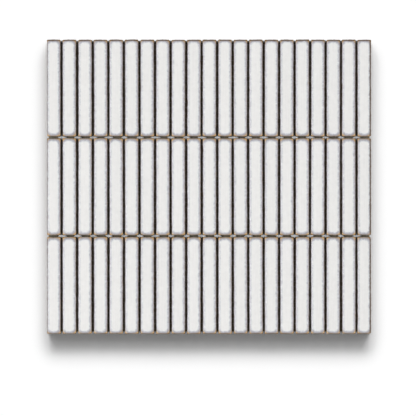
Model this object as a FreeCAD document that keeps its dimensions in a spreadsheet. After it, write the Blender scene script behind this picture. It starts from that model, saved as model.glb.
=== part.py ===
import FreeCAD, Part
import math
import os

import Sketcher

# A mesh-backed sheet of glazed finger mosaic: 21 columns by 3 rows of slim ceramic fingers
# with open joints, laid face up on an open net of glass-fibre strands.
# Millimetres. The sheet lies flat: +X runs across the columns, +Y along the fingers and +Z out
# of the glazed faces. The origin is the middle of the net's underside.

SIZES = [
    ("column_count", 21, "fingers side by side"),
    ("row_count", 3, "fingers end to end"),
    ("finger_width", 13.2, "at the widest line, just under the rounded arris"),
    ("finger_length", 92.0, "at the same line"),
    ("finger_thickness", 6.5, "back to glazed face"),
    ("joint_width", 1.5, "open joint between neighbours, both ways"),
    ("side_lean", 0.25, "how far each wall draws in towards the back"),
    ("arris_radius", 2.4, "round of the glazed edge"),
    ("arris_sweep", 51.0, "degrees turned by that round"),
    ("corner_radius", 1.0, "round of the four upright corners"),
    ("corner_flat_count", 3, "flats that each of those rounds is cut as, to keep 63 fingers light"),
    ("strand_width", 0.8, "flat glass-fibre strand of the backing net"),
    ("strand_thickness", 0.25, "one layer of strands"),
    ("strand_pitch", 5.0, "net pitch, both ways"),
    ("net_inset", 2.5, "the net stops this far inside the sheet's edge"),
]
SPARE = 4.0  # how far a profile is extruded past the finger it shapes

V = FreeCAD.Vector

doc = FreeCAD.newDocument("finger_mosaic")
sheet = doc.addObject("Spreadsheet::Sheet", "sizes")
for line, (alias, value, note) in enumerate(SIZES, start=1):
    sheet.set("A%d" % line, alias)
    sheet.set("B%d" % line, str(value))
    sheet.set("C%d" % line, note)
    sheet.setAlias("B%d" % line, alias)
doc.recompute()

column_count = int(sheet.column_count)
row_count = int(sheet.row_count)
flat_count = int(sheet.corner_flat_count)

# In a sketch's constraints, point 1 of an edge is its start and point 2 its end. Edge -1 is the
# X axis, whose point 1 is the origin, and edge -2 is the Y axis.


def dimension(sketch, name, formula, *constraint):
    """Adds a driving dimension and binds it to the sheet."""
    index = sketch.addConstraint(Sketcher.Constraint(*constraint))
    sketch.renameConstraint(index, name)
    sketch.setExpression("Constraints." + name, formula)


def profile_sketch(name, placement, span):
    """Cross-section of a finger, the sheet's cell named by span wide: a flat back on the
    sketch's X axis, walls that lean outwards, a round on each arris and a flat face."""
    half = getattr(sheet, span) / 2
    turn = math.radians(sheet.arris_sweep)
    radius, top = sheet.arris_radius, sheet.finger_thickness
    back = half - sheet.side_lean
    belly = top - radius * (1 - math.cos(turn))
    flat = half - radius * math.sin(turn)

    def arris(side):
        low, high = (math.pi / 2 - turn, math.pi / 2) if side > 0 else (math.pi / 2, math.pi / 2 + turn)
        circle = Part.Circle(V(side * flat, top - radius, 0), V(0, 0, 1), radius)
        return Part.ArcOfCircle(circle, low, high)

    sketch = doc.addObject("Sketcher::SketchObject", name)
    sketch.Placement = placement
    under = sketch.addGeometry(Part.LineSegment(V(-back, 0, 0), V(back, 0, 0)), False)
    right_wall = sketch.addGeometry(Part.LineSegment(V(back, 0, 0), V(half, belly, 0)), False)
    right_arris = sketch.addGeometry(arris(1), False)
    face = sketch.addGeometry(Part.LineSegment(V(flat, top, 0), V(-flat, top, 0)), False)
    left_arris = sketch.addGeometry(arris(-1), False)
    left_wall = sketch.addGeometry(Part.LineSegment(V(-half, belly, 0), V(-back, 0, 0)), False)

    for edge, following in (
        (under, right_wall),
        (right_wall, right_arris),
        (left_arris, left_wall),
        (left_wall, under),
    ):
        sketch.addConstraint(Sketcher.Constraint("Coincident", edge, 2, following, 1))
    sketch.addConstraint(Sketcher.Constraint("Tangent", right_arris, 2, face, 1))
    sketch.addConstraint(Sketcher.Constraint("Tangent", face, 2, left_arris, 1))
    sketch.addConstraint(Sketcher.Constraint("Symmetric", under, 1, under, 2, -2))
    sketch.addConstraint(Sketcher.Constraint("Symmetric", right_wall, 2, left_wall, 1, -2))
    sketch.addConstraint(Sketcher.Constraint("PointOnObject", under, 1, -1))
    sketch.addConstraint(Sketcher.Constraint("Horizontal", face))
    sketch.addConstraint(Sketcher.Constraint("Equal", right_arris, left_arris))
    dimension(sketch, "widest", "sizes.%s * 1 mm" % span,
              "DistanceX", left_wall, 1, right_wall, 2, 2 * half)
    dimension(sketch, "back", "(sizes.%s - 2 * sizes.side_lean) * 1 mm" % span,
              "DistanceX", under, 1, under, 2, 2 * back)
    dimension(sketch, "thickness", "sizes.finger_thickness * 1 mm",
              "DistanceY", under, 2, face, 1, top)
    dimension(sketch, "belly",
              "(sizes.finger_thickness - sizes.arris_radius"
              " * (1 - cos(sizes.arris_sweep * 1 deg))) * 1 mm",
              "DistanceY", under, 2, right_wall, 2, belly)
    dimension(sketch, "arris", "sizes.arris_radius * 1 mm", "Radius", right_arris, radius)
    return sketch


def outline_sketch(name):
    """Plan of a finger: a rectangle whose corners are each cut as short flats on a round."""
    half_width, half_length = sheet.finger_width / 2, sheet.finger_length / 2
    radius = sheet.corner_radius
    corners = []
    for quarter, (side_x, side_y) in enumerate(((1, 1), (-1, 1), (-1, -1), (1, -1))):
        for step in range(flat_count + 1):
            degrees = 90 * quarter + 90 * step / flat_count
            turn = math.radians(degrees)
            point = V(side_x * (half_width - radius) + radius * math.cos(turn),
                      side_y * (half_length - radius) + radius * math.sin(turn), 0)
            formula_x = ("%d * (sizes.finger_width / 2 - sizes.corner_radius) * 1 mm"
                         " + sizes.corner_radius * cos(%s deg) * 1 mm" % (side_x, degrees))
            formula_y = ("%d * (sizes.finger_length / 2 - sizes.corner_radius) * 1 mm"
                         " + sizes.corner_radius * sin(%s deg) * 1 mm" % (side_y, degrees))
            corners.append((point, formula_x, formula_y))

    sketch = doc.addObject("Sketcher::SketchObject", name)
    count = len(corners)
    for i in range(count):
        line = Part.LineSegment(corners[i][0], corners[(i + 1) % count][0])
        sketch.addGeometry(line, False)
    for i in range(count):
        sketch.addConstraint(Sketcher.Constraint("Coincident", i, 2, (i + 1) % count, 1))
    for i, (point, formula_x, formula_y) in enumerate(corners):
        dimension(sketch, "x%02d" % i, formula_x, "DistanceX", -1, 1, i, 1, point.x)
        dimension(sketch, "y%02d" % i, formula_y, "DistanceY", -1, 1, i, 1, point.y)
    return sketch


def extruded(sketch, formula, both_ways):
    """The sketch run straight along its normal, by a length bound to the sheet."""
    solid = doc.addObject("Part::Extrusion", sketch.Name + "_run")
    solid.Base = sketch
    solid.DirMode = "Normal"
    solid.Solid = True
    solid.Symmetric = both_ways
    solid.setExpression("LengthFwd", formula)
    return solid


def one_finger():
    """What the section across, the section along and the plan have in common, so that the
    two arris rounds meet in a mitre at each corner of the glazed face."""
    across = profile_sketch(
        "section_across", FreeCAD.Placement(V(), FreeCAD.Rotation(V(1, 0, 0), 90)), "finger_width"
    )
    along = profile_sketch(
        "section_along", FreeCAD.Placement(V(), FreeCAD.Rotation(V(1, 1, 1), 120)), "finger_length"
    )
    finger = doc.addObject("Part::MultiCommon", "finger")
    finger.Shapes = [
        extruded(across, "(sizes.finger_length + %s) * 1 mm" % SPARE, True),
        extruded(along, "(sizes.finger_width + %s) * 1 mm" % SPARE, True),
        extruded(outline_sketch("plan"), "sizes.finger_thickness * 1 mm", False),
    ]
    return finger


def origin_feature(body, role):
    return next(o for o in body.Origin.OriginFeatures if o.Role == role)


def repeated(body, name, role, pitch_formula, count_formula):
    """Repeats the body's whole shape along one of its axes."""
    pattern = body.newObject("PartDesign::LinearPattern", name)
    pattern.TransformMode = "Whole shape"
    pattern.Direction = (origin_feature(body, role), [""])
    pattern.Mode = "Spacing"
    pattern.setExpression("Offset", pitch_formula)
    pattern.setExpression("Occurrences", count_formula)
    body.Tip = pattern


def finger_column(number, finger):
    """One column: the finger repeated along Y, from the lowest row up."""
    body = doc.addObject("PartDesign::Body", "finger_column_%02d" % (number + 1))
    body.Label = "finger_column_%02d" % (number + 1)
    body.AllowCompound = True
    body.BaseFeature = finger
    doc.recompute()
    repeated(body, "rows_%02d" % (number + 1), "Y_Axis",
             "(sizes.finger_length + sizes.joint_width) * 1 mm", "sizes.row_count")
    body.setExpression(
        "Placement.Base.x",
        "(%d - (sizes.column_count - 1) / 2) * (sizes.finger_width + sizes.joint_width) * 1 mm"
        % number,
    )
    body.setExpression(
        "Placement.Base.y",
        "-(sizes.row_count - 1) / 2 * (sizes.finger_length + sizes.joint_width) * 1 mm",
    )
    body.setExpression("Placement.Base.z", "2 * sizes.strand_thickness * 1 mm")
    return body


def net_layer(label, along, level):
    """One layer of the net: flat strands side by side, level layers above the ground.
    A strand runs along Y or X, and an odd count puts the middle one under the origin."""
    spans = {
        "X": "(sizes.column_count * (sizes.finger_width + sizes.joint_width)"
             " - sizes.joint_width - 2 * sizes.net_inset)",
        "Y": "(sizes.row_count * (sizes.finger_length + sizes.joint_width)"
             " - sizes.joint_width - 2 * sizes.net_inset)",
    }
    across = "Y" if along == "X" else "X"
    per_side = "floor((%s - sizes.strand_width) / 2 / sizes.strand_pitch)" % spans[across]
    body = doc.addObject("PartDesign::Body", label)
    body.Label = label
    body.AllowCompound = True
    sketch = body.newObject("Sketcher::SketchObject", label + "_strand")
    sketch.AttachmentSupport = (origin_feature(body, "XY_Plane"), "")
    sketch.MapMode = "FlatFace"
    sides = {along: spans[along] + " * 1 mm", across: "sizes.strand_width * 1 mm"}
    half_run, half_strand = sheet.finger_length / 2, sheet.strand_width / 2
    half_x, half_y = (half_run, half_strand) if along == "X" else (half_strand, half_run)
    corners = [V(half_x, -half_y, 0), V(half_x, half_y, 0), V(-half_x, half_y, 0), V(-half_x, -half_y, 0)]
    for i in range(4):
        sketch.addGeometry(Part.LineSegment(corners[i], corners[(i + 1) % 4]), False)
    for i in range(4):
        sketch.addConstraint(Sketcher.Constraint("Coincident", i, 2, (i + 1) % 4, 1))
        sketch.addConstraint(Sketcher.Constraint("Vertical" if i % 2 == 0 else "Horizontal", i))
    sketch.addConstraint(Sketcher.Constraint("Symmetric", 0, 2, 2, 2, -1, 1))
    dimension(sketch, "size_x", sides["X"], "DistanceX", 1, 2, 1, 1, 2 * half_x)
    dimension(sketch, "size_y", sides["Y"], "DistanceY", 0, 1, 0, 2, 2 * half_y)
    pad = body.newObject("PartDesign::Pad", label + "_pad")
    pad.Profile = sketch
    pad.setExpression("Length", "sizes.strand_thickness * 1 mm")
    doc.recompute()
    repeated(body, label + "_strands", across + "_Axis",
             "sizes.strand_pitch * 1 mm", "2 * %s + 1" % per_side)
    body.setExpression("Placement.Base." + across.lower(),
                       "-%s * sizes.strand_pitch * 1 mm" % per_side)
    body.setExpression("Placement.Base.z", "%d * sizes.strand_thickness * 1 mm" % level)
    return body


finger = one_finger()
doc.recompute()
parts = [finger_column(number, finger) for number in range(column_count)]
parts.append(net_layer("net_warp", "Y", 0))
parts.append(net_layer("net_weft", "X", 1))
doc.recompute()

for item in doc.Objects:
    failed = [state for state in item.State if state in ("Invalid", "Error")]
    if failed:
        raise RuntimeError("%s is %s" % (item.Name, failed))
for body in parts:
    if body.Shape.isNull() or not body.Shape.isValid():
        raise RuntimeError("%s has no valid shape" % body.Label)
for body in parts[:column_count]:
    if len(body.Shape.Solids) != row_count:
        raise RuntimeError("%s holds %d fingers" % (body.Label, len(body.Shape.Solids)))

os.makedirs("parts", exist_ok=True)
for body in parts:
    body.Shape.exportStep("parts/%s.step" % body.Label)
    box = body.Shape.BoundBox
    print("%s: %d solids, %.2f x %.2f x %.2f mm" % (
        body.Label, len(body.Shape.Solids), box.XLength, box.YLength, box.ZLength))
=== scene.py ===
import math

import bmesh
import bpy
import numpy as np
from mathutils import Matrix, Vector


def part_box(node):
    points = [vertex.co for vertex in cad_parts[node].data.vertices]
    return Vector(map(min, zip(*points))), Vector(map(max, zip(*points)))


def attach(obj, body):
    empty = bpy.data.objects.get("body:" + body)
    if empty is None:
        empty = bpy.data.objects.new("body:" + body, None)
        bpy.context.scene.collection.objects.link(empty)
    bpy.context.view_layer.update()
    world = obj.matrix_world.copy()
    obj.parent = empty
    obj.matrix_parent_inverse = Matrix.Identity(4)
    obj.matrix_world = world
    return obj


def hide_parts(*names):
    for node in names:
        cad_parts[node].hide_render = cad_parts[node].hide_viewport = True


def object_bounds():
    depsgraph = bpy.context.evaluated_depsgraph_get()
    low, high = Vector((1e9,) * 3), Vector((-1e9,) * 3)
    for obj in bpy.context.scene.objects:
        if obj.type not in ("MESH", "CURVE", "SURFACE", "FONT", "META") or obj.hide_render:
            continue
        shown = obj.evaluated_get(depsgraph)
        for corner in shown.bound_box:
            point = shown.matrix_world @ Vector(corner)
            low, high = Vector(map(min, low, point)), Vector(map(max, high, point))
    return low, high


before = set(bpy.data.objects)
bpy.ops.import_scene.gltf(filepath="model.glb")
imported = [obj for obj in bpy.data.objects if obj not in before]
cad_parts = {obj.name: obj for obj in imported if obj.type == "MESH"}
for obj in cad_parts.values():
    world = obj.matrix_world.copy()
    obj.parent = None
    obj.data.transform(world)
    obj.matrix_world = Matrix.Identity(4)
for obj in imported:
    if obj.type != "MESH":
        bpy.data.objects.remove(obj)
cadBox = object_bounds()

# A mesh-backed sheet of glazed finger mosaic, seen from straight above.
# Lengths are metres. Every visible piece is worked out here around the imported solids' boxes.

mm = 0.001
toMm = 1000.0            # for shader maths, which is in mm where it says so
seam = 0.002 * mm        # points closer than this are one
scene = bpy.context.scene


# Shader maths: a Wire is one output of a node, and sums or products of wires add Math nodes.

class Wire:
    def __init__(self, graph, socket):
        self.graph = graph
        self.socket = socket

    def output(self, name):
        # another output of the same node
        return Wire(self.graph, self.socket.node.outputs[name])

    def __add__(self, other):
        return self.graph.math("ADD", self, other)

    __radd__ = __add__

    def __sub__(self, other):
        return self.graph.math("SUBTRACT", self, other)

    def __rsub__(self, other):
        return self.graph.math("SUBTRACT", other, self)

    def __mul__(self, other):
        return self.graph.math("MULTIPLY", self, other)

    __rmul__ = __mul__

    def __abs__(self):
        return self.graph.math("ABSOLUTE", self)


class Graph:
    def __init__(self, tree):
        self.tree = tree
        tree.nodes.clear()

    def node(self, kind, settings=None, inputs=None, output=0):
        made = self.tree.nodes.new(kind)
        for name, value in (settings or {}).items():
            if name == "stops":
                self.setStops(made.color_ramp, value)
            else:
                setattr(made, name, value)
        for name, value in (inputs or {}).items():
            self.feed(made.inputs[name], value)
        return Wire(self, made.outputs[output]) if made.outputs else None

    def feed(self, socket, value):
        if isinstance(value, Wire):
            self.tree.links.new(value.socket, socket)
        else:
            socket.default_value = value

    def setStops(self, ramp, stops):
        while len(ramp.elements) < len(stops):
            ramp.elements.new(1.0)
        for element, (position, color) in zip(ramp.elements, stops):
            element.position = position
            element.color = color

    def math(self, operation, *values):
        return self.node("ShaderNodeMath", {"operation": operation}, dict(enumerate(values)))

    def highest(self, value, *more):
        for rival in more:
            value = self.math("MAXIMUM", value, rival)
        return value

    def smooth(self, value, low, high):
        # 0 below low, 1 above high, eased between
        return self.node(
            "ShaderNodeMapRange",
            {"interpolation_type": "SMOOTHSTEP"},
            {"Value": value, "From Min": low, "From Max": high},
        )

    def mixColor(self, factor, first, second, blend="MIX"):
        # 6, 7 and 2 are the sockets of that node that carry colours
        return self.node(
            "ShaderNodeMix",
            {"data_type": "RGBA", "blend_type": blend},
            {0: factor, 6: first, 7: second},
            output=2,
        )

    def noise(self, place, scale, detail, roughness):
        return self.node(
            "ShaderNodeTexNoise",
            {},
            {"Vector": place, "Scale": scale, "Detail": detail, "Roughness": roughness},
        )

    def uneven(self, place, scale, detail, roughness):
        # noise about zero
        return self.noise(place, scale, detail, roughness) - 0.5

    def bump(self, height, strength, distance):
        return self.node(
            "ShaderNodeBump",
            {},
            {"Strength": strength, "Distance": distance, "Height": height},
        )

    def xyz(self, vector):
        x = self.node("ShaderNodeSeparateXYZ", {}, {"Vector": vector})
        return x, x.output("Y"), x.output("Z")

    def finish(self, shader, kind="ShaderNodeOutputMaterial"):
        self.node(kind, {}, {"Surface": shader})


def srgb(red, green, blue):
    # 0-255 display levels to the linear colour a shader takes
    levels = [level / 255 for level in (red, green, blue)]
    linear = [v / 12.92 if v <= 0.04045 else ((v + 0.055) / 1.055) ** 2.4 for v in levels]
    return (*linear, 1.0)


def newMaterial(name):
    material = bpy.data.materials.new(name)
    material.use_nodes = True
    return material, Graph(material.node_tree)


def grainyMaterial(name, part):
    # one noise drives both the colour and the bump
    material, graph = newMaterial(name)
    place = graph.node("ShaderNodeTexCoord", output="Object")
    grain = graph.noise(place, *part["grain"])
    graph.finish(graph.node("ShaderNodeBsdfPrincipled", {}, {
        "Base Color": graph.mixColor(grain, *part["colors"]),
        "Roughness": part["roughness"],
        "Normal": graph.bump(grain, *part["bump"]),
    }))
    return material


def meshObject(name, points, faceBlocks, material, flat=False):
    # faceBlocks holds arrays of faces, each with its own number of corners
    mesh = bpy.data.meshes.new(name)
    faces = [face for block in faceBlocks for face in block.tolist()]
    mesh.from_pydata(points.tolist(), [], faces, shade_flat=flat)
    mesh.materials.append(material)
    piece = bpy.data.objects.new(name, mesh)
    scene.collection.objects.link(piece)
    return piece


def pointValues(piece, name, kind, field, values):
    attribute = piece.data.attributes.new(name, kind, "POINT")
    attribute.data.foreach_set(field, np.concatenate(values).ravel())


def weld(piece):
    # merges the doubled points along a seam or at a pole
    body = bmesh.new()
    body.from_mesh(piece.data)
    bmesh.ops.remove_doubles(body, verts=body.verts, dist=seam)
    body.to_mesh(piece.data)
    body.free()


def ringFaces(rings, around):
    # quads between rings of points that are numbered ring by ring
    ring = np.arange(rings - 1)[:, None]
    step = np.arange(around)[None, :]
    nextStep = (step + 1) % around
    quads = np.stack([ring * around + step, (ring + 1) * around + step,
                      (ring + 1) * around + nextStep, ring * around + nextStep], axis=-1)
    return quads.reshape(-1, 4)


# Fingers

finger = {
    "rows": 3,
    "joint": 1.5 * mm,
    "arrisAcross": 2.1 * mm,     # how far the glazed round reaches in from the rim
    "arrisDrop": 1.5 * mm,       # how far it falls
    "endStretch": 1.35,          # the ends fall away more gently than the long sides
    "rimCorner": 1.0 * mm,       # plan corner at the rim
    "faceCorner": 3.4 * mm,      # plan corner where the face turns flat
    "cornerCap": 0.75,           # the most that a corner takes of its ring's half width
    "sideLean": 0.25 * mm,       # how far the walls draw in towards the back
    "backEdge": 0.35 * mm,
    "endBow": 0.1 * mm,          # the ends are slightly bowed in plan
    "bowPower": 8,               # keeps the bow to the ends
    "crown": 0.12 * mm,          # rise of the face at its middle
    "wander": 0.1 * mm,          # how far a finger lies off its grid place
    "turn": 0.12,                # degrees
    "sink": 0.1 * mm,            # spread of thickness
    "drift": 0.45 * mm,          # the middle columns lie this much to the right
    "edgeWave": 0.31 * mm,       # how far the pressed edge draws in here and there
    "waves": (5, 9, 16, 27, 41, 58),     # turns of each ripple round the outline
    "waveSum": 3,                # ripples that add up to more than this are cut off
    "faceRings": 6,
    "faceEase": 1.3,             # draws the face's rings together near its middle
    "roundRings": 11,
    "wallShares": (0.34, 0.67, 1.0),     # where the walls' rings lie, from the rim down
    "backRings": 4,
    "flatShares": (0.5, 1.0),    # and those of the flat back, from its edge in
    "sideSteps": 42,
    "endSteps": 7,
    "cornerSteps": 6,
    "seed": 41,
}


def fingerProfile(part):
    # From the middle of the face outwards and down, round the back edge to the middle of the
    # back. For each ring: inset from the rim, drop from the top, plan corner, end stretch.
    # The round is a quarter ellipse: inset = a (1 - sin t), drop = b (1 - cos t).
    a, b = part["arrisAcross"], part["arrisDrop"]
    halfWidth, height = part["halfWidth"], part["height"]
    wayIn = np.linspace(1.0, 0.0, part["faceRings"])[:-1] ** part["faceEase"]
    faceInset = wayIn * (halfWidth - a) + a
    faceDrop = part["crown"] * ((halfWidth - faceInset) / halfWidth) ** 2
    edgeDrop = part["crown"] * ((halfWidth - a) / halfWidth) ** 2
    turn = np.linspace(0, math.pi / 2, part["roundRings"])
    roundInset = a * (1 - np.sin(turn))
    roundDrop = edgeDrop + (b - edgeDrop) * (1 - np.cos(turn))
    wallShare = np.array(part["wallShares"])
    wallInset = wallShare * part["sideLean"]
    wallDrop = b + wallShare * (height - part["backEdge"] - b)
    turn = np.linspace(0, math.pi / 2, part["backRings"])[1:]
    backInset = part["sideLean"] + part["backEdge"] * (1 - np.cos(turn))
    backDrop = height - part["backEdge"] + part["backEdge"] * np.sin(turn)
    flatInset = np.array(part["flatShares"]) * (halfWidth - backInset[-1]) + backInset[-1]
    flatDrop = np.full(flatInset.size, height)
    inset = np.concatenate([faceInset, roundInset, wallInset, backInset, flatInset])
    drop = np.concatenate([faceDrop, roundDrop, wallDrop, backDrop, flatDrop])
    glazed = drop < b
    blend = np.clip(inset / a, 0, 1)
    corner = part["rimCorner"] + (part["faceCorner"] - part["rimCorner"]) * blend
    corner = np.where(glazed, corner, part["rimCorner"])
    corner = np.minimum(corner, part["cornerCap"] * (halfWidth - inset))
    stretch = np.where(glazed, part["endStretch"], 1.0)
    return inset, drop, corner, stretch


def fingerOutline(part):
    # Round the plan once. Each point is a place between the corner centres (-1 to 1, both
    # ways) and a direction out from there.
    cx, cy, angle = [], [], []
    side = np.linspace(-1, 1, part["sideSteps"] + 1)[1:-1]
    end = np.linspace(1, -1, part["endSteps"] + 1)[1:-1]
    quarter = np.linspace(0, math.pi / 2, part["cornerSteps"] + 1)
    for index, (sx, sy) in enumerate(((1, 1), (-1, 1), (-1, -1), (1, -1))):
        run = (end, -side, -end, side)[index]
        alongEnd = index % 2 == 0
        cx += [np.full(quarter.size, sx), run if alongEnd else np.full(run.size, sx)]
        cy += [np.full(quarter.size, sy), np.full(run.size, sy) if alongEnd else run]
        angle += [quarter + index * math.pi / 2, np.full(run.size, (index + 1) * math.pi / 2)]
    return np.concatenate(cx), np.concatenate(cy), np.concatenate(angle)


def fingerShell(part):
    # Points (rings, around, 3) of one finger about its own middle, top at z = 0:
    # x = cx (a - r) + r cos t and y = cy (b - r) + r sin t on each ring of the profile.
    inset, drop, corner, stretch = fingerProfile(part)
    cx, cy, angle = fingerOutline(part)
    a = (part["halfWidth"] - inset)[:, None]
    b = (part["halfLength"] - inset * stretch)[:, None]
    r = corner[:, None]
    x = cx * (a - r) + r * np.cos(angle)
    y = cy * (b - r) + r * np.sin(angle)
    nearEnd = (np.abs(y) / part["halfLength"]) ** part["bowPower"]
    y -= np.sign(y) * part["endBow"] * (x / part["halfWidth"]) ** 2 * nearEnd
    z = np.broadcast_to(-drop[:, None], x.shape)
    return np.stack([x, y, z], axis=-1), inset, angle


def edgeRipple(shell, inset, angle, part, random):
    # The edge draws in unevenly: pull = w * share * (1 + sum of sin(k s + phase) / 3) / 2 with
    # the sum kept within -3 and 3, where s runs round the outline and share falls from 1 on
    # the round to 0 at the middle of the face.
    rim = shell[len(inset) // 2, :, :2]
    steps = np.linalg.norm(np.roll(rim, -1, axis=0) - rim, axis=1)
    s = np.concatenate([[0], np.cumsum(steps)[:-1]]) / steps.sum() * 2 * math.pi
    wave = np.zeros(s.size)
    for turns in part["waves"]:
        wave += np.sin(turns * s + random.uniform(0, 2 * math.pi))
    reach = (inset - part["arrisAcross"]) / (part["halfWidth"] - part["arrisAcross"])
    share = np.clip(1 - reach, 0, 1)
    pull = part["edgeWave"] * share[:, None] * (1 + np.clip(wave / part["waveSum"], -1, 1)) / 2
    rippled = shell.copy()
    rippled[..., 0] -= pull * np.cos(angle)
    rippled[..., 1] -= pull * np.sin(angle)
    return rippled.reshape(-1, 3)


def driftAt(x):
    # shift = drift * cos(pi / 2 * x / half the sheet's width)
    return finger["drift"] * math.cos(math.pi / 2 * x / cadBox[1].x)


def fingerColumn(name, material, random):
    # Three fingers of one column, each laid a little off its grid place
    low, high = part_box(name)
    rows, joint = finger["rows"], finger["joint"]
    part = {
        **finger,
        "halfWidth": (high.x - low.x) / 2,
        "halfLength": (high.y - low.y - (rows - 1) * joint) / rows / 2,
        "height": high.z - low.z,
    }
    shell, inset, angle = fingerShell(part)
    rings, around = shell.shape[:2]
    points, plans, tones = [], [], []
    middleX = (low.x + high.x) / 2
    middleX += driftAt(middleX)
    for row in range(rows):
        middleY = low.y + part["halfLength"] + row * (2 * part["halfLength"] + joint)
        turn = math.radians(part["turn"]) * random.uniform(-1, 1)
        shift = part["wander"] * random.uniform(-1, 1, 2)
        sink = part["sink"] * random.uniform(0, 1)
        tone = random.uniform(-1, 1)
        flat = edgeRipple(shell, inset, angle, part, random)
        x = flat[:, 0] * math.cos(turn) - flat[:, 1] * math.sin(turn) + middleX + shift[0]
        y = flat[:, 0] * math.sin(turn) + flat[:, 1] * math.cos(turn) + middleY + shift[1]
        # the upper half sinks, the back stays on the net
        z = high.z + np.where(flat[:, 2] > -part["height"] / 2, flat[:, 2] - sink, flat[:, 2])
        points.append(np.stack([x, y, z], axis=-1))
        plans.append(flat * (1, 1, 0))
        tones.append(np.full(len(flat), tone))
    points = np.concatenate(points)
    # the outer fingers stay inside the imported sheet's box
    points[:, 0] = np.clip(points[:, 0], cadBox[0].x, cadBox[1].x)
    points[:, 1] = np.clip(points[:, 1], cadBox[0].y, cadBox[1].y)
    faceBlocks = [ringFaces(rings, around) + row * rings * around for row in range(rows)]
    piece = meshObject("glazed_" + name, points, faceBlocks, material)
    pointValues(piece, "plan", "FLOAT_VECTOR", "vector", plans)
    pointValues(piece, "tone", "FLOAT", "value", tones)
    weld(piece)
    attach(piece, "root")
    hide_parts(name)


glaze = {
    # colours by how far a point lies outside the white pool, mm: the glaze thins over the clay, and
    # the darkening towards the rim is partly painted shade of the sloping round
    "breaksAndShade": [
        (-2.8, srgb(239, 238, 236)),
        (-2.25, srgb(229, 230, 230)),
        (-1.6, srgb(211, 212, 216)),
        (-1.1, srgb(187, 187, 194)),
        (-0.5, srgb(173, 170, 176)),
        (-0.05, srgb(171, 163, 161)),
        (0.65, srgb(172, 153, 134)),
        (1.3, srgb(200, 160, 106)),
        (2.3, srgb(194, 150, 96)),
        (3.0, srgb(120, 88, 56)),
    ],
    "poolAcross": 6.3,       # half size of the white pool of glaze in plan, mm
    "poolAlong": 45.0,
    "poolCorner": 4.9,
    "poolShadeShift": (-0.23, -0.1),      # painted shade: the pool sits off to the left and down, so the right and top rims are darker, as sides away from the light, mm
    "wobble": 1.7,           # how unevenly the glaze breaks, mm
    "fineWobble": 1.6,
    "mottle": 0.13,          # how much clouds darken and lighten it
    "streak": 0.09,          # and streaks
    "tone": 0.012,           # and each finger's own tone
    "streakStretch": (1.0, 0.06, 1.0),       # streaks run along the finger
    "roughness": 0.16,
    "ior": 1.5,
    # bumps: strength, distance
    "bump": (0.25, 0.2 * mm),
    # noises: scale, detail, roughness
    "wobbleNoise": (260.0, 3.0, 0.5),
    "fineNoise": (800.0, 2.0, 0.5),
    "mottleNoise": (240.0, 4.0, 0.6),
    "streakNoise": (900.0, 2.0, 0.5),
    "rippleNoise": (160.0, 2.0, 0.5),
}

clay = {
    "colors": (srgb(74, 56, 40), srgb(116, 92, 68)),
    "roughness": 0.9,
    "specular": 0.15,
    "grain": (1600.0, 4.0, 0.7),
    "bump": (0.5, 0.1 * mm),
    "glazedAbove": 6.24,     # the glaze is whole above this height and gone below the next, mm
    "bareBelow": 5.42,
    "lipNoise": (230.0, 4.0, 0.65),
    "lipWobble": 2.4,        # how unevenly the rim is bare, mm
    "outlineShadeShift": (0.5 * mm, 0.5 * mm),    # painted shade: the bare dark edge is shifted to lie wider on the right and top, the sides away from the light
    "outlineReach": (-1.9, -0.3),    # untouched and bare, by distance out from the sheet's edge, mm
    "outlineWobble": 2.0,
    "outlineBare": 0.85,          # how bare the sheet's edge is
}


def poolDistance(graph):
    # How far a point of the finger's plan lies outside the white pool, mm:
    # d = |max(q, 0)| + min(max(qx, qy), 0) - r, with q = |p| - (half - r).
    plan = graph.node("ShaderNodeAttribute", {"attribute_name": "plan"}, output="Vector")
    x, y, _ = graph.xyz(plan)
    r = glaze["poolCorner"]
    # painted shade: the shift darkens the right and top rims of every finger
    shadeShiftX, shadeShiftY = glaze["poolShadeShift"]
    qx = abs(x * toMm - shadeShiftX) - (glaze["poolAcross"] - r)
    qy = abs(y * toMm - shadeShiftY) - (glaze["poolAlong"] - r)
    outX = graph.highest(qx, 0.0)
    outY = graph.highest(qy, 0.0)
    inside = graph.math("MINIMUM", graph.highest(qx, qy), 0.0)
    return graph.math("SQRT", outX * outX + outY * outY) + inside - r


def glazeShader(graph, place):
    distance = poolDistance(graph)
    distance = distance + graph.uneven(place, *glaze["wobbleNoise"]) * glaze["wobble"]
    distance = distance + graph.uneven(place, *glaze["fineNoise"]) * glaze["fineWobble"]
    # the ramp is the glaze thinning over the clay, with painted shade darkening the round towards the
    # rim
    first, last = glaze["breaksAndShade"][0][0], glaze["breaksAndShade"][-1][0]
    share = graph.node(
        "ShaderNodeMapRange",
        {},
        {"Value": distance, "From Min": first, "From Max": last},
    )
    stops = [((reach - first) / (last - first), color) for reach, color in glaze["breaksAndShade"]]
    brokenAndShaded = graph.node("ShaderNodeValToRGB", {"stops": stops}, {"Fac": share})
    drawnOut = graph.node(
        "ShaderNodeMapping",
        {},
        {"Vector": place, "Scale": glaze["streakStretch"]},
    )
    tone = graph.node("ShaderNodeAttribute", {"attribute_name": "tone"}, output="Fac")
    shade = 1.0 + graph.uneven(place, *glaze["mottleNoise"]) * glaze["mottle"]
    shade = shade + graph.uneven(drawnOut, *glaze["streakNoise"]) * glaze["streak"]
    shade = shade + tone * glaze["tone"]
    grey = graph.node("ShaderNodeCombineColor", {}, {"Red": shade, "Green": shade, "Blue": shade})
    ripple = graph.noise(place, *glaze["rippleNoise"])
    return graph.node("ShaderNodeBsdfPrincipled", {}, {
        "Base Color": graph.mixColor(1.0, brokenAndShaded, grey, "MULTIPLY"),
        "Roughness": glaze["roughness"],
        "IOR": glaze["ior"],
        "Normal": graph.bump(ripple, *glaze["bump"]),
    })


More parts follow.
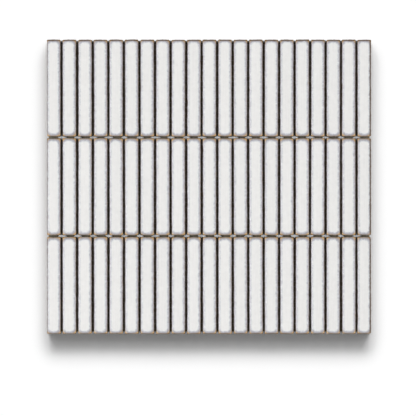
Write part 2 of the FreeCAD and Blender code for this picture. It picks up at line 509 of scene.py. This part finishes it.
def clayShader(graph, place):
    grain = graph.noise(place, *clay["grain"])
    return graph.node("ShaderNodeBsdfPrincipled", {}, {
        "Base Color": graph.mixColor(grain, *clay["colors"]),
        "Roughness": clay["roughness"],
        "Specular IOR Level": clay["specular"],
        "Normal": graph.bump(grain, *clay["bump"]),
    })


def bareShare(graph, place):
    # At the rim the glaze drew back to the clay, here more and there less, and the sheet's
    # outer edge shows bare clay, wider on the right and top as painted shade.
    x, y, z = graph.xyz(place)
    lip = graph.uneven(place, *clay["lipNoise"])
    bare = graph.smooth(lip * clay["lipWobble"] - z * toMm, -clay["glazedAbove"], -clay["bareBelow"])
    # painted shade: shifting the outline mask darkens the right and top edges more
    shadeShiftX, shadeShiftY = clay["outlineShadeShift"]
    outside = graph.highest(abs(x + shadeShiftX) - cadBox[1].x, abs(y + shadeShiftY) - cadBox[1].y) * toMm
    outlineBare = graph.smooth(outside + lip * clay["outlineWobble"], *clay["outlineReach"]) * clay["outlineBare"]
    return graph.highest(bare, outlineBare)


def glazedClay():
    # White glaze that pools on the face and gives way to the clay at the rim, its darkening towards
    # the rim partly painted shade
    material, graph = newMaterial("glazedClay")
    place = graph.node("ShaderNodeTexCoord", output="Object")
    graph.finish(graph.node("ShaderNodeMixShader", {}, {
        "Fac": bareShare(graph, place),
        1: glazeShader(graph, place),
        2: clayShader(graph, place),
    }))
    return material


def columnNames():
    return sorted(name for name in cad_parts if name.startswith("finger_column"))


def layFingers():
    random = np.random.default_rng(finger["seed"])
    material = glazedClay()
    for name in columnNames():
        fingerColumn(name, material, random)
    print("fingers laid:", len(columnNames()), "columns of", finger["rows"])


# Backing net

net = {
    "pitch": 5.0 * mm,
    "stepsPerPitch": 3,          # of a warp yarn
    "swing": 0.16 * mm,          # how far the two yarns of a warp pair swap sides
    "colors": (srgb(140, 136, 123), srgb(174, 171, 158)),
    "roughness": 0.55,
    "grain": (2600.0, 3.0, 0.6),
    "bump": (0.4, 0.05 * mm),
}
weft = {"width": 0.8 * mm, "thickness": 0.2 * mm, "sides": 6, "across": (0, 1, 0), "mirrored": False}
warp = {"width": 0.42 * mm, "thickness": 0.15 * mm, "sides": 5, "across": (1, 0, 0), "mirrored": True}


def yarnPiece(node, path, yarn, material):
    # Ellipses carried along paths that run nearly straight, closed by flat ends:
    # point = path + (w / 2 cos t) across + (h / 2 sin t) up. path is (yarns, steps, 3).
    yarns, steps = path.shape[:2]
    sides = yarn["sides"]
    turn = np.linspace(0, 2 * math.pi, sides, endpoint=False)
    wide = np.outer(np.cos(turn) * yarn["width"] / 2, yarn["across"])
    thick = np.outer(np.sin(turn) * yarn["thickness"] / 2, (0, 0, 1))
    points = (path[:, :, None, :] + wide + thick).reshape(-1, 3)
    step = np.arange(steps - 1)[:, None]
    side = np.arange(sides)[None, :]
    nextSide = (side + 1) % sides
    quads = np.stack([step * sides + side, step * sides + nextSide,
                      (step + 1) * sides + nextSide, (step + 1) * sides + side], axis=-1)
    firstPoint = np.arange(yarns)[:, None] * steps * sides
    walls = (quads.reshape(1, -1, 4) + firstPoint[:, :, None]).reshape(-1, 4)
    starts = firstPoint + side
    ends = starts + (steps - 1) * sides
    caps = np.concatenate([starts[:, ::-1], ends])
    if yarn["mirrored"]:
        # path, across and up are left-handed here, so the faces are turned round
        walls, caps = walls[:, ::-1], caps[:, ::-1]
    piece = meshObject("woven_" + node, points, [walls, caps], material)
    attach(piece, "root")
    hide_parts(node)


def weaveNet():
    # Leno weave: each weft yarn lies between the two yarns of every warp pair, which swap
    # sides between one weft and the next.
    material = grainyMaterial("coatedYarn", net)
    low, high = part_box("net_weft")
    warpLow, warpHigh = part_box("net_warp")
    middle = (warpLow.z + high.z) / 2
    weftY = np.arange(low.y + weft["width"] / 2, high.y, net["pitch"])
    warpX = np.arange(warpLow.x + weft["width"] / 2, warpHigh.x, net["pitch"])

    along = np.linspace(low.x, high.x, 2 * warpX.size + 1)
    path = np.zeros((weftY.size, along.size, 3))
    path[:, :, 0] = along
    path[:, :, 1] = weftY[:, None]
    path[:, :, 2] = middle
    yarnPiece("net_weft", path, weft, material)

    # With p the phase along a pair, half a turn from weft to weft, its two yarns lie at
    # x = +-swing cos p and z = middle +- lift sqrt(|cos p|).
    lift = (high.z - warpLow.z - warp["thickness"]) / 2
    steps = int((warpHigh.y - warpLow.y) / net["pitch"] * net["stepsPerPitch"])
    along = np.linspace(warpLow.y, warpHigh.y, steps)
    phase = (along - weftY[0]) / net["pitch"] * math.pi
    sign = np.array([1.0, -1.0])[None, :, None]
    path = np.zeros((warpX.size, 2, steps, 3))
    path[..., 0] = warpX[:, None, None] + sign * net["swing"] * np.cos(phase)
    path[..., 1] = along
    path[..., 2] = middle + sign * lift * np.abs(np.cos(phase)) ** 0.5
    yarnPiece("net_warp", path.reshape(-1, steps, 3), warp, material)
    print("net woven:", warpX.size, "warp pairs,", weftY.size, "wefts")


# Adhesive

bead = {
    "halfAcross": 3.6 * mm,      # along the row joint
    "halfAlong": 1.9 * mm,
    "offset": (0.45 * mm, -0.2 * mm),        # the net pulled them a little to one side
    "endShare": 0.5,             # size of the beads at the sheet's two ends
    "endInset": 1.5 * mm,
    "low": 0.4 * mm,
    "high": 2.9 * mm,
    "gap": 0.85 * mm,            # half the joint and a little
    "blunt": 0.8,                # 1 is an ellipsoid, less is blunter
    "spread": (0.2, 0.1, 0.12),      # how unlike they are across, along and in height
    "lump": 0.12,                # how lumpy they are
    "lumpTurns": (2, 5, 3),      # lumps round the plan, coarse and fine, and round the top
    "rings": 13,
    "around": 28,
    "seed": 7,
    "colors": (srgb(202, 206, 210), srgb(236, 238, 240)),
    "roughness": 0.42,
    "grain": (700.0, 3.0, 0.6),
    "bump": (0.4, 0.1 * mm),
}


def beadPlaces():
    # the middle of each crossing and of each column joint's two ends, with the bead's size
    low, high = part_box("finger_column_01")
    rowPitch = (high.y - low.y + finger["joint"]) / finger["rows"]
    rowY = [low.y - finger["joint"] / 2 + rowPitch * row for row in range(1, finger["rows"])]
    endY = (low.y + bead["endInset"], high.y - bead["endInset"])
    sizes = [(y, 1.0) for y in rowY] + [(y, bead["endShare"]) for y in endY]
    names = columnNames()
    gridX = [(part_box(left)[1].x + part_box(right)[0].x) / 2 for left, right in zip(names, names[1:])]
    return [(x + driftAt(x), y, size) for y, size in sizes for x in gridX]


def squeezeBeads():
    # Where fingers meet, the adhesive of the net has squeezed up as a blunt bead:
    # x = a sin^0.8 t cos u, y = b sin^0.8 t sin u, z rising as cos t from the net to the top.
    # The fingers' walls hold it in: beyond the gap g both ways, y is drawn in to g.
    random = np.random.default_rng(bead["seed"])
    t = np.linspace(0, math.pi, bead["rings"])[:, None]
    u = np.linspace(0, 2 * math.pi, bead["around"], endpoint=False)[None, :]
    coarse, fine, over = bead["lumpTurns"]
    points = []
    for x, y, size in beadPlaces():
        a, b, top = 1 + random.uniform(-1, 1, 3) * bead["spread"]
        wide, narrow = random.uniform(0, 2 * math.pi, 2)
        lumps = np.sin(coarse * u + wide) + np.sin(fine * u + narrow) / 2
        reach = np.sin(t) ** bead["blunt"] * (1 + bead["lump"] * lumps * np.sin(t))
        across = size * (bead["offset"][0] + a * bead["halfAcross"] * reach * np.cos(u))
        along = size * (bead["offset"][1] + b * bead["halfAlong"] * reach * np.sin(u))
        walled = (np.abs(across) > bead["gap"]) & (np.abs(along) > bead["gap"])
        along = np.where(walled, np.sign(along) * bead["gap"], along)
        rise = (bead["high"] - bead["low"]) * top * math.sqrt(size) * (1 + np.cos(t)) / 2
        rise = rise * (1 + bead["lump"] * np.sin(over * u + narrow) * np.sin(t))
        shape = np.stack([x + across, y + along, bead["low"] + rise], axis=-1)
        points.append(shape.reshape(-1, 3))
    quads = ringFaces(bead["rings"], bead["around"])
    faceBlocks = [quads + index * t.size * u.size for index in range(len(points))]
    material = grainyMaterial("whiteAdhesive", bead)
    piece = meshObject("adhesive_beads", np.concatenate(points), faceBlocks, material)
    weld(piece)
    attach(piece, "root")
    print("beads squeezed:", len(points))


# Ground, light and camera

studio = {
    "floorHalf": (8.0, 8.0),
    "floorHeight": -0.02 * mm,
    "floorColor": (0.97, 0.97, 0.97, 1.0),
    "floorBounce": (0.15, 0.15, 0.15, 1.0),      # what the floor gives back to the sheet
    "cardHalf": (152.5 * mm, 138.5 * mm),        # painted shade: a dark card under the sheet, seen through the joints in place of their deep shade
    "cardHeight": -0.005 * mm,
    "jointShadeColor": (0.27, 0.24, 0.18, 1.0),
    "worldLevel": 0.05,
    # for the floor alone: azimuth, elevation, spread, level
    "floorSuns": [
        (-8, 14.5, 11, 0.185), (8, 14.5, 11, 0.185),
        (-25, 16, 15, 0.165), (25, 16, 15, 0.165),
        (-50, 20, 22, 0.07), (50, 20, 22, 0.07),
        (-84, 50, 30, 0.028), (84, 50, 30, 0.044),
        (0, 88, 10, 0.09),
    ],
    # for the sheet: azimuth, elevation, width, height, level
    "softboxes": [
        (-68, 48, 3.7, 3.0, 0.162), (-112, 48, 3.7, 3.0, 0.38),
        (68, 48, 3.7, 3.0, 0.094), (112, 48, 3.7, 3.0, 0.258),
        (-90, 40, 2.6, 3.0, 0.07),
    ],
    "ceiling": (0, 89.9, 3.0, 3.0, 0.06),        # as a softbox, but never seen in the glaze
    "boxDistance": 5.0,
}


def plane(name, halfX, halfY, height, color, bounce):
    # color is what the camera and reflections see, bounce what lights the sheet from below
    points = np.array([(-halfX, -halfY, height), (halfX, -halfY, height),
                       (halfX, halfY, height), (-halfX, halfY, height)])
    material, graph = newMaterial(name)
    diffuseRay = graph.node("ShaderNodeLightPath").output("Is Diffuse Ray")
    shown = graph.mixColor(diffuseRay, color, bounce)
    graph.finish(graph.node("ShaderNodeBsdfDiffuse", {}, {"Color": shown}))
    ground = meshObject(name, points, [np.array([[0, 1, 2, 3]])], material, flat=True)
    return ground


def lampObject(name, data, azimuth, elevation, lit):
    # azimuth is measured from +Y towards +X, in degrees. Only the objects in lit are lit.
    lamp = bpy.data.objects.new(name, data)
    lamp.rotation_euler = (math.radians(90 - elevation), 0, math.radians(180 - azimuth))
    scene.collection.objects.link(lamp)
    only = bpy.data.collections.new(name + "Lights")
    for item in lit:
        only.objects.link(item)
    lamp.light_linking.receiver_collection = only
    return lamp


def sun(name, azimuth, elevation, spread, level, lit):
    # level is what the lamp adds to a white surface facing up
    data = bpy.data.lights.new(name, "SUN")
    data.angle = math.radians(spread)
    data.energy = level * math.pi / math.sin(math.radians(elevation))
    return lampObject(name, data, azimuth, elevation, lit)


def softbox(name, azimuth, elevation, width, height, level, lit):
    # level is what the lamp adds to a white surface facing up at the origin
    distance = studio["boxDistance"]
    a, e = math.radians(azimuth), math.radians(elevation)
    data = bpy.data.lights.new(name, "AREA")
    data.shape = "RECTANGLE"
    data.size, data.size_y = width, height
    data.energy = level * math.pi ** 2 * distance ** 2 / math.sin(e)
    lamp = lampObject(name, data, azimuth, elevation, lit)
    lamp.location = (distance * math.sin(a) * math.cos(e), distance * math.cos(a) * math.cos(e),
                     distance * math.sin(e))
    lamp.visible_camera = False
    return lamp


def whiteRoom():
    # white where it is seen, straight or in gloss or glass, and dim as a light
    world = bpy.data.worlds.new("whiteRoom")
    world.use_nodes = True
    scene.world = world
    graph = Graph(world.node_tree)
    ray = graph.node("ShaderNodeLightPath")
    seen = [ray.output(name) for name in ("Is Camera Ray", "Is Glossy Ray", "Is Transmission Ray")]
    strength = studio["worldLevel"] + graph.highest(*seen) * (1 - studio["worldLevel"])
    background = graph.node("ShaderNodeBackground", {}, {"Color": (1, 1, 1, 1), "Strength": strength})
    graph.finish(background, "ShaderNodeOutputWorld")


def setStudio():
    floor = plane("floor", *studio["floorHalf"], studio["floorHeight"],
                  studio["floorColor"], studio["floorBounce"])
    # painted shade: a dark card under the sheet darkens what shows through the joints
    plane("jointShadeCard", *studio["cardHalf"], studio["cardHeight"],
          studio["jointShadeColor"], studio["jointShadeColor"])
    sheet = [item for item in scene.objects if item.type == "MESH" and item is not floor]
    for setting in studio["floorSuns"]:
        sun("floorSun", *setting, [floor])
    for setting in studio["softboxes"]:
        softbox("softbox", *setting, sheet)
    ceiling = softbox("ceiling", *studio["ceiling"], sheet)
    ceiling.visible_glossy = False
    whiteRoom()
    scene.view_settings.view_transform = "Standard"
    print("studio lit:", len(studio["softboxes"]), "softboxes")


view = {
    "across": 393.8 * mm,        # what the frame's width covers on the sheet's face
    "offset": (-0.95 * mm, -20.2 * mm),      # of the camera from the sheet's middle
    "lens": 150.0,
    "sensor": 36.0,
    "clipEnd": 50.0,
}


def setCamera():
    data = bpy.data.cameras.new("camera")
    data.lens = view["lens"]
    data.sensor_width = view["sensor"]
    data.clip_end = view["clipEnd"]
    camera = bpy.data.objects.new("camera", data)
    distance = view["across"] * view["lens"] / view["sensor"]
    camera.location = (*view["offset"], cadBox[1].z + distance)
    scene.collection.objects.link(camera)
    scene.camera = camera
    print("camera set at %.2f m" % distance)


layFingers()
weaveNet()
squeezeBeads()
setCamera()
setStudio()
